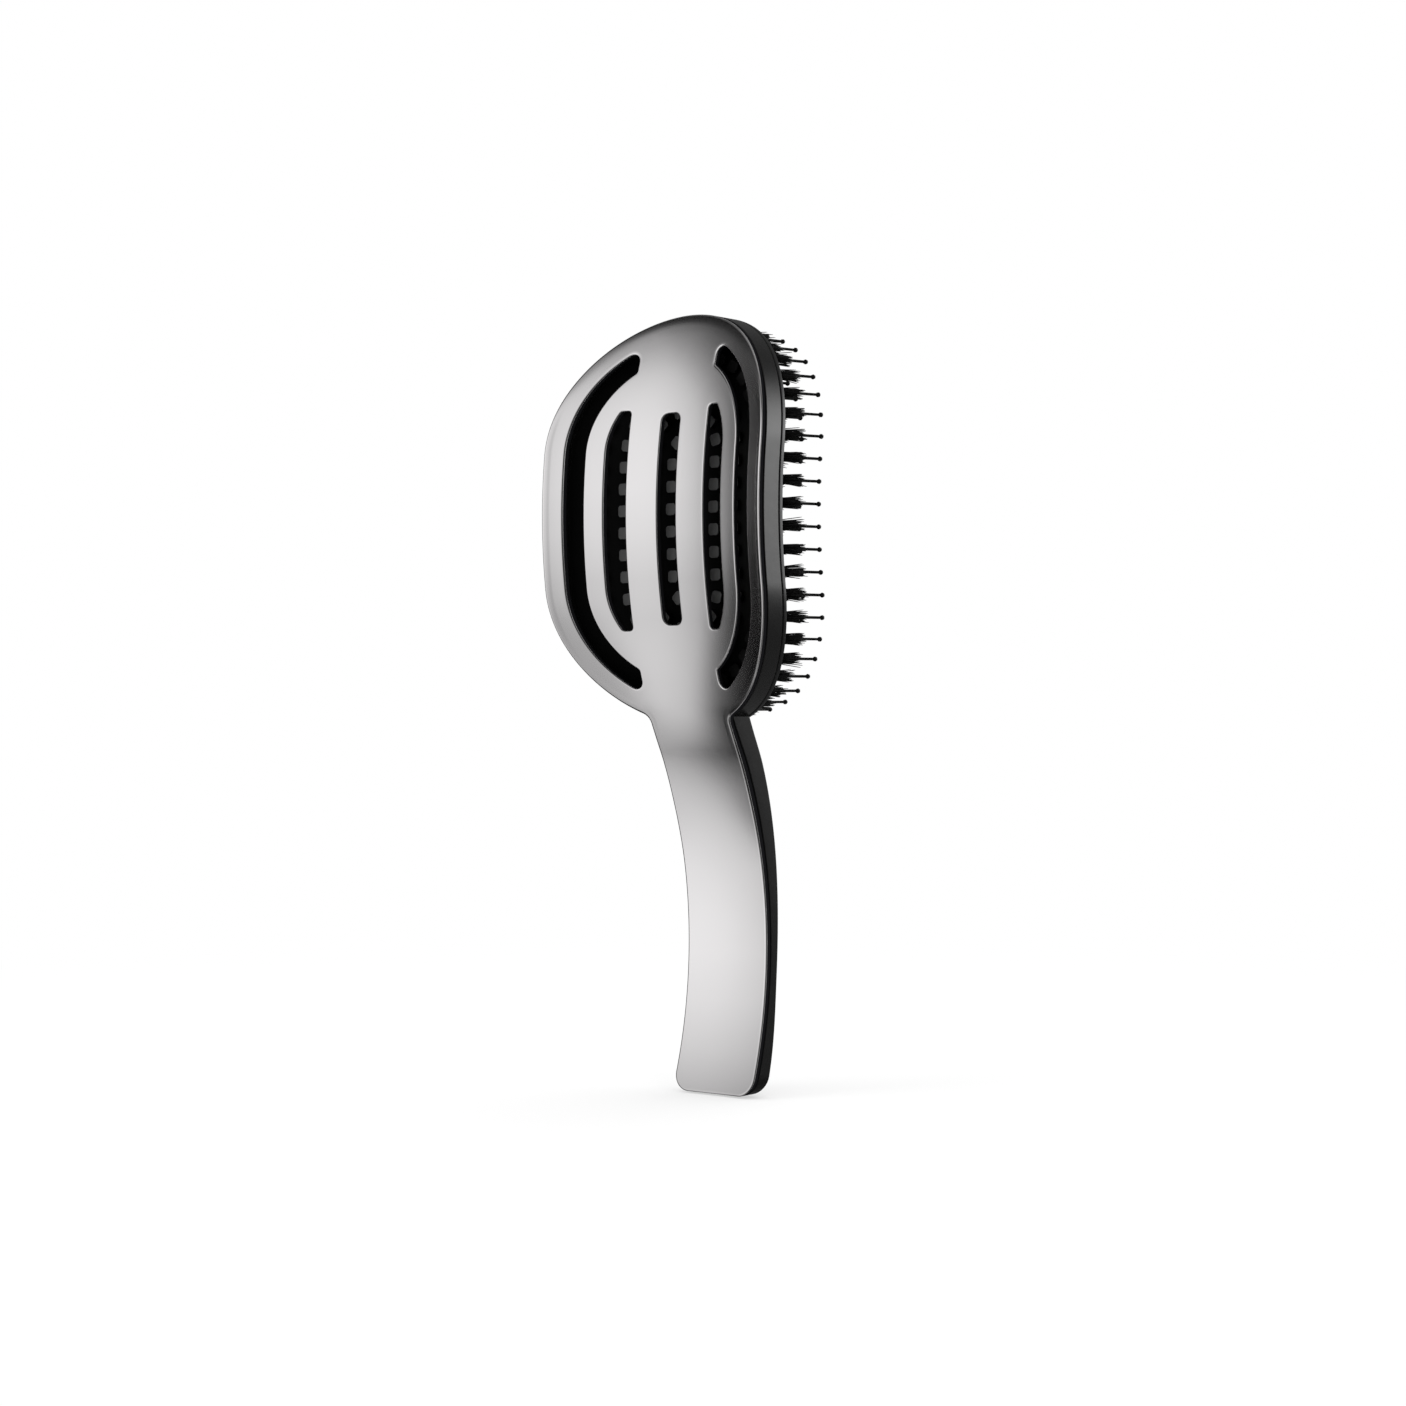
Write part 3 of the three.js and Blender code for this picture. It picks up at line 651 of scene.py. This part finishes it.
PLATE_THICK = 2.0
PLATE_SLOT = 2.8
PLATE_SLOT_SWEEP = np.radians(40.0)
RING_PITCH = 8.2
TUFT_PITCH = 6.5
BOSS_RINGS = 4
BOSS_WIDTH, BOSS_HEIGHT, BOSS_EDGE = 3.5, 2.0, 0.3
BOSS_SIDES, BOSS_SQUARENESS = 16, 0.97
PLATE_EDGE, SLOT_EDGE, PLATE_GRID = 0.35, 0.3, 2.6
BODY_BAND, BODY_BEVEL, BEVEL_DEPTH, FRONT_STATIONS = 2.0, 0.2, 0.1, [1.2, 4.0]
# Painted highlight on the bosses' faces, ring by ring from the middle out: how far their colour is lightened
# towards grey.
BOSS_PAINTED_LIGHT = [1.0, 1.0, 0.9, 0.04]


def ring_slot(radius, side):
    """An air slot along one side of a ring of tufts, with round ends."""
    half = PLATE_SLOT / 2
    sweep = PLATE_SLOT_SWEEP
    end = np.array([radius * np.cos(sweep), radius * np.sin(sweep)])
    return beside(side, *outline(
        (0, HEAD_LOW, radius + half, -sweep, 0),
        (0, HEAD_HIGH, radius + half, 0, sweep),
        (end[0], HEAD_HIGH + end[1], half, sweep, sweep + np.pi),
        (0, HEAD_HIGH, radius - half, sweep, 0),
        (0, HEAD_LOW, radius - half, 0, -sweep),
        (end[0], HEAD_LOW - end[1], half, np.pi - sweep, 2 * np.pi - sweep),
    ))


def ring_places(radius):
    """Places round a ring: x, z and facing angle. Each quarter is divided evenly from half a step beside the
    middle of its straight side, so that the rings' tufts lie in level rows across the head."""
    half = (HEAD_HIGH - HEAD_LOW) / 2
    quarter = half + np.pi * radius / 2
    count = round(quarter / TUFT_PITCH)
    run = quarter * (np.arange(count) + 0.5) / count
    turn = np.maximum(run - half, 0.0) / radius
    rise = np.minimum(run, half) + radius * np.sin(turn)
    side, end = np.array([-1.0, -1.0, 1.0, 1.0]), np.array([-1.0, 1.0, -1.0, 1.0])
    x = np.outer(radius * np.cos(turn), side).reshape(-1)
    z = HEAD_LOW + half + np.outer(rise, end).reshape(-1)
    angle = np.outer(turn, end).reshape(-1)
    return x, z, np.where(x > 0, angle, np.pi - angle)


def stalks(foot, along, across, beside, section, distances, scales):
    """Copies of one stalk: a section scaled by each of scales at each of distances along its own direction."""
    shape = section[None, None, :, :] * np.asarray(scales)[None, :, None, None]
    points = (foot[:, None, None, :] + along[:, None, None, :] * np.asarray(distances)[None, :, None, None]
              + across[:, None, None, :] * shape[..., 0:1] + beside[:, None, None, :] * shape[..., 1:2])
    copies, levels, corners = points.shape[:3]
    level, corner = np.meshgrid(np.arange(levels - 1), np.arange(corners), indexing="ij")
    following = (corner + 1) % corners
    quads = np.stack([level * corners + corner, level * corners + following,
                      (level + 1) * corners + following, (level + 1) * corners + corner], axis=-1).reshape(-1, 4)
    caps = np.stack([np.arange(corners)[::-1], (levels - 1) * corners + np.arange(corners)])
    first = (np.arange(copies) * levels * corners)[:, None, None]
    return points.reshape(-1, 3), [(first + quads).reshape(-1, 4), (first + caps).reshape(-1, corners)]


def satin_black():
    """Black moulding with a fine spark-eroded grain: dull on its back, and satin where the mark is -1, on its
    front. On the bosses' faces a painted highlight makes it paler by as much as the mark is above 0, standing in
    for the light that falls on them through the vents."""
    paint = Paint(bpy.data.materials.new("satin_black_plastic"))
    grain = noise(paint, 1800.0, 2.0)
    patch = noise(paint, 60.0, 3.0)
    mark = paint.node("ShaderNodeAttribute", {"attribute_name": "mark"}, output="Fac")
    bump = paint.node("ShaderNodeBump", {}, {"Strength": 0.15, "Distance": 0.0001, "Height": grain})
    black = blend(paint, patch, (0.003, 0.003, 0.003, 1), (0.006, 0.006, 0.006, 1))
    # Painted highlight: the bosses' faces are lightened towards grey by their mark.
    tint = blend(paint, mark.largest(0.0), black, (0.13, 0.13, 0.13, 1))
    shader = paint.node("ShaderNodeBsdfPrincipled", {},
                        {"Base Color": tint, "Roughness": 0.5 + 0.1 * patch, "Specular IOR Level": 0.04,
                         "Coat Weight": (mark * -1.0).largest(0.0), "Coat Roughness": 0.32, "Normal": bump})
    return paint.finish(shader)


def plate_surface(x, z, depth):
    """The plate follows the plated surface at a depth behind it."""
    return place(x, depth, z)


frame_inner = HEAD_RADIUS - FRAME_WALL
edge_in, edge_down = fillet(PLATE_EDGE, 0.0, 4)
body_back = HEAD_DEPTH - PLATE_THICK
flange_back = HEAD_DEPTH - FLANGE
inset_body = HEAD_RADIUS - frame_inner + SEAT_GAP
flange_rim = (
    np.concatenate([[inset_body + BODY_BAND, inset_body + BODY_BEVEL, inset_body, inset_body,
                     inset_body - BODY_BEVEL], edge_in, edge_in[::-1], FRONT_STATIONS]),
    np.concatenate([[body_back, body_back, body_back + BEVEL_DEPTH, flange_back - BEVEL_DEPTH, flange_back],
                    flange_back + edge_down, HEAD_DEPTH - edge_down[::-1], [HEAD_DEPTH, HEAD_DEPTH]]),
)
slot_in, slot_down = fillet(SLOT_EDGE, 0.0, 3)
slot_rim = (
    np.concatenate([[1.0], slot_in, slot_in[::-1], [1.0]]),
    np.concatenate([[body_back], body_back + slot_down, HEAD_DEPTH - slot_down[::-1], [HEAD_DEPTH]]),
)
plate_slots = [slot(PLATE_SLOT / 2, HEAD_LOW, HEAD_HIGH, PLATE_SLOT / 2 - 0.05),
               ring_slot(2 * RING_PITCH, 1), ring_slot(2 * RING_PITCH, -1)]
plate_edges = [(stadium(HEAD_RADIUS), *flange_rim, -(flange_rim[1] > flange_back).astype(float))]
plate_edges += [(cut, *slot_rim, -(slot_rim[1] > flange_back).astype(float)) for cut in plate_slots]
plate_points, plate_faces, _, plate_marks = sheet(plate_edges, plate_surface, PLATE_GRID)

bosses, boss_light_marks = [], []
for ring in range(BOSS_RINGS):
    x, z, angle = ring_places(RING_PITCH * (ring + 0.5))
    level = np.linspace(0, 2 * np.pi, BOSS_SIDES, endpoint=False) + np.pi / BOSS_SIDES
    reach = BOSS_WIDTH / 2 / np.maximum(np.abs(np.cos(level)), np.abs(np.sin(level))) ** BOSS_SQUARENESS
    section = np.stack([np.cos(level), np.sin(level)], axis=-1) * reach[:, None]
    foot = place(x, HEAD_DEPTH - PLATE_THICK - BOSS_HEIGHT, z)
    outward = np.stack([np.cos(angle), np.zeros_like(angle), np.sin(angle)], axis=-1)
    tangent = np.stack([-np.sin(angle), np.zeros_like(angle), np.cos(angle)], axis=-1)
    along = np.tile([0.0, MM, 0.0], (len(x), 1))
    bosses.append(stalks(foot, along, outward * MM, -tangent * MM, section,
                         [0.0, 0.05, BOSS_EDGE, BOSS_HEIGHT + 1.0], [0.94, 0.98, 1.0, 1.0]))
    # The bosses' faces carry their ring's painted highlight, their sides none.
    boss_light_marks.append(np.tile(np.repeat([BOSS_PAINTED_LIGHT[ring], BOSS_PAINTED_LIGHT[ring], 0.0, 0.0], len(level)), len(x)))
boss_points, boss_faces = join(*bosses)
points, faces = join((plate_points, plate_faces), (boss_points, boss_faces))
marks = np.concatenate([plate_marks, *boss_light_marks])
bristle_plate = make_piece("tuft_plate", points, faces, None, satin_black(), marks)
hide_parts("bristle_plate")
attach(bristle_plate, "root")


# ------------------------------------------------------------------ tufts
# Each hole of the plate holds one bunch of short black bristles, folded over a
# wire staple, round one moulded nylon pin with a ball tip. The tufts stand in five
# rings in the head's own shape, square to the dished plate.

TUFT_NODES = {"tufts_inner_rings": (0, 1, 0), "tufts_middle_ring": (2, 2, 0),
              "tufts_outer_left": (3, 4, -1), "tufts_outer_right": (3, 4, 1)}
PIN_LENGTH, PIN_RADIUS, BALL_RADIUS, PIN_SIDES = 15.1, 0.45, 0.75, 8
PIN_STATIONS, PIN_TAPER, BALL_FROM, BALL_TO = [-0.8, 4.0, 10.0], [1.1, 1.0, 0.92], -0.32 * np.pi, 0.42 * np.pi
HAIRS, HAIR_LENGTH, HAIR_RADIUS, HAIR_SIDES, BUNCH_RADIUS = 60, 9.2, 0.15, 3, 1.35
HAIR_SPREAD, HAIR_STRAY, SHORTEST_HAIR, BUNCH_CORE = 0.03, 0.045, 0.74, 0.12
HAIR_STATIONS, HAIR_TAPER = [-0.06, 0.5, 0.9, 1.0], [1.0, 0.95, 0.8, 0.45]


def bristle_black():
    """Black nylon with a soft sheen, a shade lighter where it is worn."""
    paint = Paint(bpy.data.materials.new("black_nylon"))
    streak = noise(paint, 900.0, 2.0)
    tint = blend(paint, streak, (0.002, 0.002, 0.002, 1), (0.006, 0.006, 0.006, 1))
    shader = paint.node("ShaderNodeBsdfPrincipled", {},
                        {"Base Color": tint, "Roughness": 0.38 + 0.12 * streak, "Specular IOR Level": 0.2})
    return paint.finish(shader)


def circle(sides):
    """Corners of a regular section of radius 1."""
    turn = np.linspace(0, 2 * np.pi, sides, endpoint=False)
    return np.stack([np.cos(turn), np.sin(turn)], axis=-1)


def tuft_ring(radius, side, random):
    """Pins and hairs of one ring, or of its half on one side: pins are turned profiles with a ball, hairs are
    thin tapers that lean outwards."""
    x, z, angle = ring_places(radius)
    kept = x * side >= 0
    x, z, angle = x[kept], z[kept], angle[kept]
    foot = place(x, HEAD_DEPTH, z)
    tangent = np.stack([-np.sin(angle), np.zeros_like(angle), np.cos(angle)], axis=-1)
    along = unit(np.stack([x / DISH_RADIUS, np.ones_like(x), np.zeros_like(x)], axis=-1))
    across = unit(np.cross(along, tangent))
    ball = np.linspace(BALL_FROM, BALL_TO, 5)
    centre = PIN_LENGTH - BALL_RADIUS
    taper = PIN_RADIUS * np.array(PIN_TAPER)
    distances = np.concatenate([PIN_STATIONS, centre + BALL_RADIUS * np.sin(ball), [PIN_LENGTH]])
    scales = np.concatenate([taper, BALL_RADIUS * np.cos(ball), [0.05]])
    pins = stalks(foot, along * MM, np.cross(across, along) * MM, -across * MM, circle(PIN_SIDES),
                  distances, scales)

    count = len(x)
    spin = random.uniform(0, 2 * np.pi, (count, HAIRS))
    reach = BUNCH_RADIUS * np.sqrt(random.uniform(BUNCH_CORE, 1.0, (count, HAIRS)))
    shift = (tangent[:, None] * (reach * np.cos(spin))[..., None]
             + across[:, None] * (reach * np.sin(spin))[..., None])
    stray = random.normal(0, HAIR_STRAY, (count, HAIRS, 3))
    lean = unit(along[:, None] + shift * HAIR_SPREAD + stray)
    length = HAIR_LENGTH * random.uniform(SHORTEST_HAIR, 1.0, (count, HAIRS, 1))
    root = (foot[:, None] + shift * MM).reshape(-1, 3)
    direction = (lean * length * MM).reshape(-1, 3)
    side = unit(np.cross(direction, np.array([0.3, 0.1, 0.95])))
    other = np.cross(unit(direction), side)
    hairs = stalks(root, direction, side * MM, -other * MM, circle(HAIR_SIDES), HAIR_STATIONS,
                   HAIR_RADIUS * np.array(HAIR_TAPER))
    return join(pins, hairs)


nylon = bristle_black()
random = np.random.default_rng(7)
for name, (first_ring, last_ring, side) in TUFT_NODES.items():
    rings = range(first_ring, last_ring + 1)
    points, faces = join(*[tuft_ring(RING_PITCH * (ring + 0.5), side, random) for ring in rings])
    tufts = make_piece(name.replace("tufts", "pins_and_bristles"), points, faces, None, nylon)
    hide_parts(name)
    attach(tufts, "root")


# ------------------------------------------------------------------ studio
# A pale floor under the butt, a white surround, and soft lamps. The camera stands
# level with the middle of the brush, on its plated side and to the right.

CAMERA_TURN = np.radians(38.18)
CAMERA_AT = (0.4959, -0.6130 - BUTT_CENTRE * MM, 0.1160)
LENS = 69.51

camera = bpy.data.objects.new("camera", bpy.data.cameras.new("camera"))
camera.data.lens, camera.data.sensor_width = LENS, 36.0
camera.location = CAMERA_AT
camera.rotation_euler = (np.pi / 2, 0.0, CAMERA_TURN)
bpy.context.scene.collection.objects.link(camera)
bpy.context.scene.camera = camera


def floor_material():
    """Pale matt floor that keeps the shadow and runs into the white surround."""
    paint = Paint(bpy.data.materials.new("pale_floor"))
    matt = paint.node("ShaderNodeBsdfDiffuse", {}, {"Color": (0.94, 0.94, 0.94, 1)})
    white = paint.node("ShaderNodeEmission", {}, {"Color": (1, 1, 1, 1), "Strength": 1.0})
    seen = paint.node("ShaderNodeLightPath", output="Is Camera Ray")
    spot = paint.node("ShaderNodeTexCoord", output="Object")
    away = paint.node("ShaderNodeVectorMath", {"operation": "LENGTH"}, {0: spot}, output="Value")
    share = paint.ramp(away, [(0.0, 0.55), (0.12, 0.6), (0.5, 1.0)])
    return paint.finish(paint.node("ShaderNodeMixShader", {}, {0: seen * share, 1: matt, 2: white}))


FLOOR_SIZE, FLOOR_DROP = 6.0, 0.0006
corners = np.array([[-1, -1, 0], [1, -1, 0], [1, 1, 0], [-1, 1, 0]]) * FLOOR_SIZE / 2
corners[:, 2] = -FLOOR_DROP
floor = make_piece("floor", corners, [np.array([[0, 1, 2, 3]])], None, floor_material())
floor.visible_glossy = False


def lamp(name, at, towards, size, power):
    """A soft box lamp at a place, turned towards a point. The surround carries its reflection."""
    data = bpy.data.lights.new(name, "AREA")
    data.shape, data.size, data.energy = "SQUARE", size, power
    light = bpy.data.objects.new(name, data)
    light.location = at
    aim = np.array(towards) - np.array(at)
    flat = np.hypot(aim[0], aim[1])
    light.rotation_euler = (np.arctan2(flat, -aim[2]), 0.0, np.arctan2(aim[1], aim[0]) - np.pi / 2)
    light.visible_glossy = False
    bpy.context.scene.collection.objects.link(light)
    return light


middle = (0.0, 0.0, 0.12)
lamp("key_soft_box", (-0.7, -1.0, 0.9), middle, 0.8, 5.0)
lamp("fill_soft_box", (1.0, -0.5, 0.6), middle, 0.7, 2.5)
lamp("top_soft_box", (0.1, 0.3, 1.3), middle, 0.9, 4.0)


def by_degrees(levels, place_of):
    """(degrees, level) pairs as ramp stops at the place each angle has between 0 and 1."""
    return [(float(place_of(np.radians(degrees))), level) for degrees, level in levels]


def glow(paint, direction, towards, stops):
    """Brightness of the surround round one direction: a ramp over the cosine of the angle to it."""
    near = paint.node("ShaderNodeVectorMath", {"operation": "DOT_PRODUCT"}, {0: direction, 1: towards},
                      output="Value")
    return paint.ramp(near, stops)


DIFFUSE_LEVEL = 0.80
# The big soft box on the camera's left: its level by elevation, and by azimuth from
# -Y towards +X.
BOX_UP = [(-90, 0.5), (-60, 0.4), (-48, 0.42), (-41, 0.56), (-37, 0.68), (-32, 0.80), (-26, 0.90), (-20, 0.95),
          (-14, 0.98), (-8, 1.0), (0, 1.0), (16, 1.0), (22, 0.95), (27, 0.88), (31, 0.76), (34, 0.60), (38, 0.38),
          (50, 0.12), (90, 0.06)]
BOX_ROUND = [(-100, 0.005), (-88, 0.01), (-80, 0.035), (-73, 0.12), (-68, 0.26), (-60, 0.50), (-52, 0.73),
             (-45, 0.84), (-36, 0.97), (-28, 1.0), (-10, 0.94), (0, 0.90), (8, 0.72), (20, 0.30), (35, 0.08),
             (50, 0.02)]
# The narrow strip light behind on the right, that the black side walls show.
STRIP_UP = [(-25, 0.02), (-8, 0.06), (-2, 0.12), (1, 0.36), (4, 0.66), (10, 0.85), (18, 0.72), (24, 0.50),
            (28, 0.34), (33, 0.13), (38, 0.07), (50, 0.04)]
STRIP_ROUND = [(60, 0.0), (80, 0.15), (110, 0.2), (128, 1.0), (154, 1.0), (172, 0.2), (180, 0.1)]
STRIP_LEVEL = 4.2
# Dark flags that shade the soft box: the direction of each, and its level by the cosine
# of the angle to it. Three stand low, on the left and below, and one high on the left.
FLAGS = [
    ((-0.882, -0.031, -0.470),
     [(0.82, 1.0), (0.834, 0.95), (0.866, 0.65), (0.891, 0.40), (0.906, 0.32), (0.94, 0.14), (0.96, 0.10)]),
    ((0.123, -0.696, -0.707), [(0.82, 1.0), (0.866, 0.8), (0.891, 0.64), (0.914, 0.6)]),
    ((-0.689, -0.278, -0.669), [(0.9681, 1.0), (0.9816, 0.6), (0.9903, 0.25)]),
    ((-0.683, -0.183, 0.707), [(0.88, 1.0), (0.914, 0.7), (0.948, 0.5), (0.974, 0.2)]),
]

world = bpy.data.worlds.new("white_surround")
paint = Paint(world)
direction = paint.node("ShaderNodeTexCoord", output="Generated")
east = paint.node("ShaderNodeSeparateXYZ", {}, {0: direction}, output="X")
north = paint.node("ShaderNodeSeparateXYZ", {}, {0: direction}, output="Y")
up = paint.node("ShaderNodeSeparateXYZ", {}, {0: direction}, output="Z")
around = east.angle_from(north * -1.0) * (0.5 / np.pi) + 0.5
box_up = paint.ramp(up * 0.5 + 0.5, by_degrees(BOX_UP, lambda angle: 0.5 + 0.5 * np.sin(angle)))
box_round = paint.ramp(around, by_degrees(BOX_ROUND, lambda angle: 0.5 + angle / (2 * np.pi)))
flagged = box_up * box_round
for towards, stops in FLAGS:
    flagged = flagged * glow(paint, direction, towards, stops)
strip = paint.ramp(up * 0.5 + 0.5, by_degrees(STRIP_UP, lambda angle: 0.5 + 0.5 * np.sin(angle)))
strip = strip * paint.ramp(around, by_degrees(STRIP_ROUND, lambda angle: 0.5 + angle / (2 * np.pi)))
ceiling = paint.ramp(up, [(0.80, 0.0), (0.90, 0.15), (1.0, 0.3)])
back_wall = glow(paint, direction, (0.0, 1.0, 0.0), [(0.0, 0.0), (0.4, 0.12)])
reflected = flagged.largest(strip * STRIP_LEVEL).largest(ceiling).largest(back_wall)
seen = paint.node("ShaderNodeLightPath", output="Is Camera Ray")
mirrored = paint.node("ShaderNodeLightPath", output="Is Glossy Ray")
through = paint.node("ShaderNodeLightPath", output="Is Transmission Ray")
level = DIFFUSE_LEVEL + (seen + through) * (1.0 - DIFFUSE_LEVEL) + mirrored * (reflected - DIFFUSE_LEVEL)
surround = paint.node("ShaderNodeBackground", {}, {"Color": (1, 1, 1, 1), "Strength": level})
paint.finish(surround, "ShaderNodeOutputWorld")
bpy.context.scene.world = world
bpy.context.scene.view_settings.view_transform = "Standard"
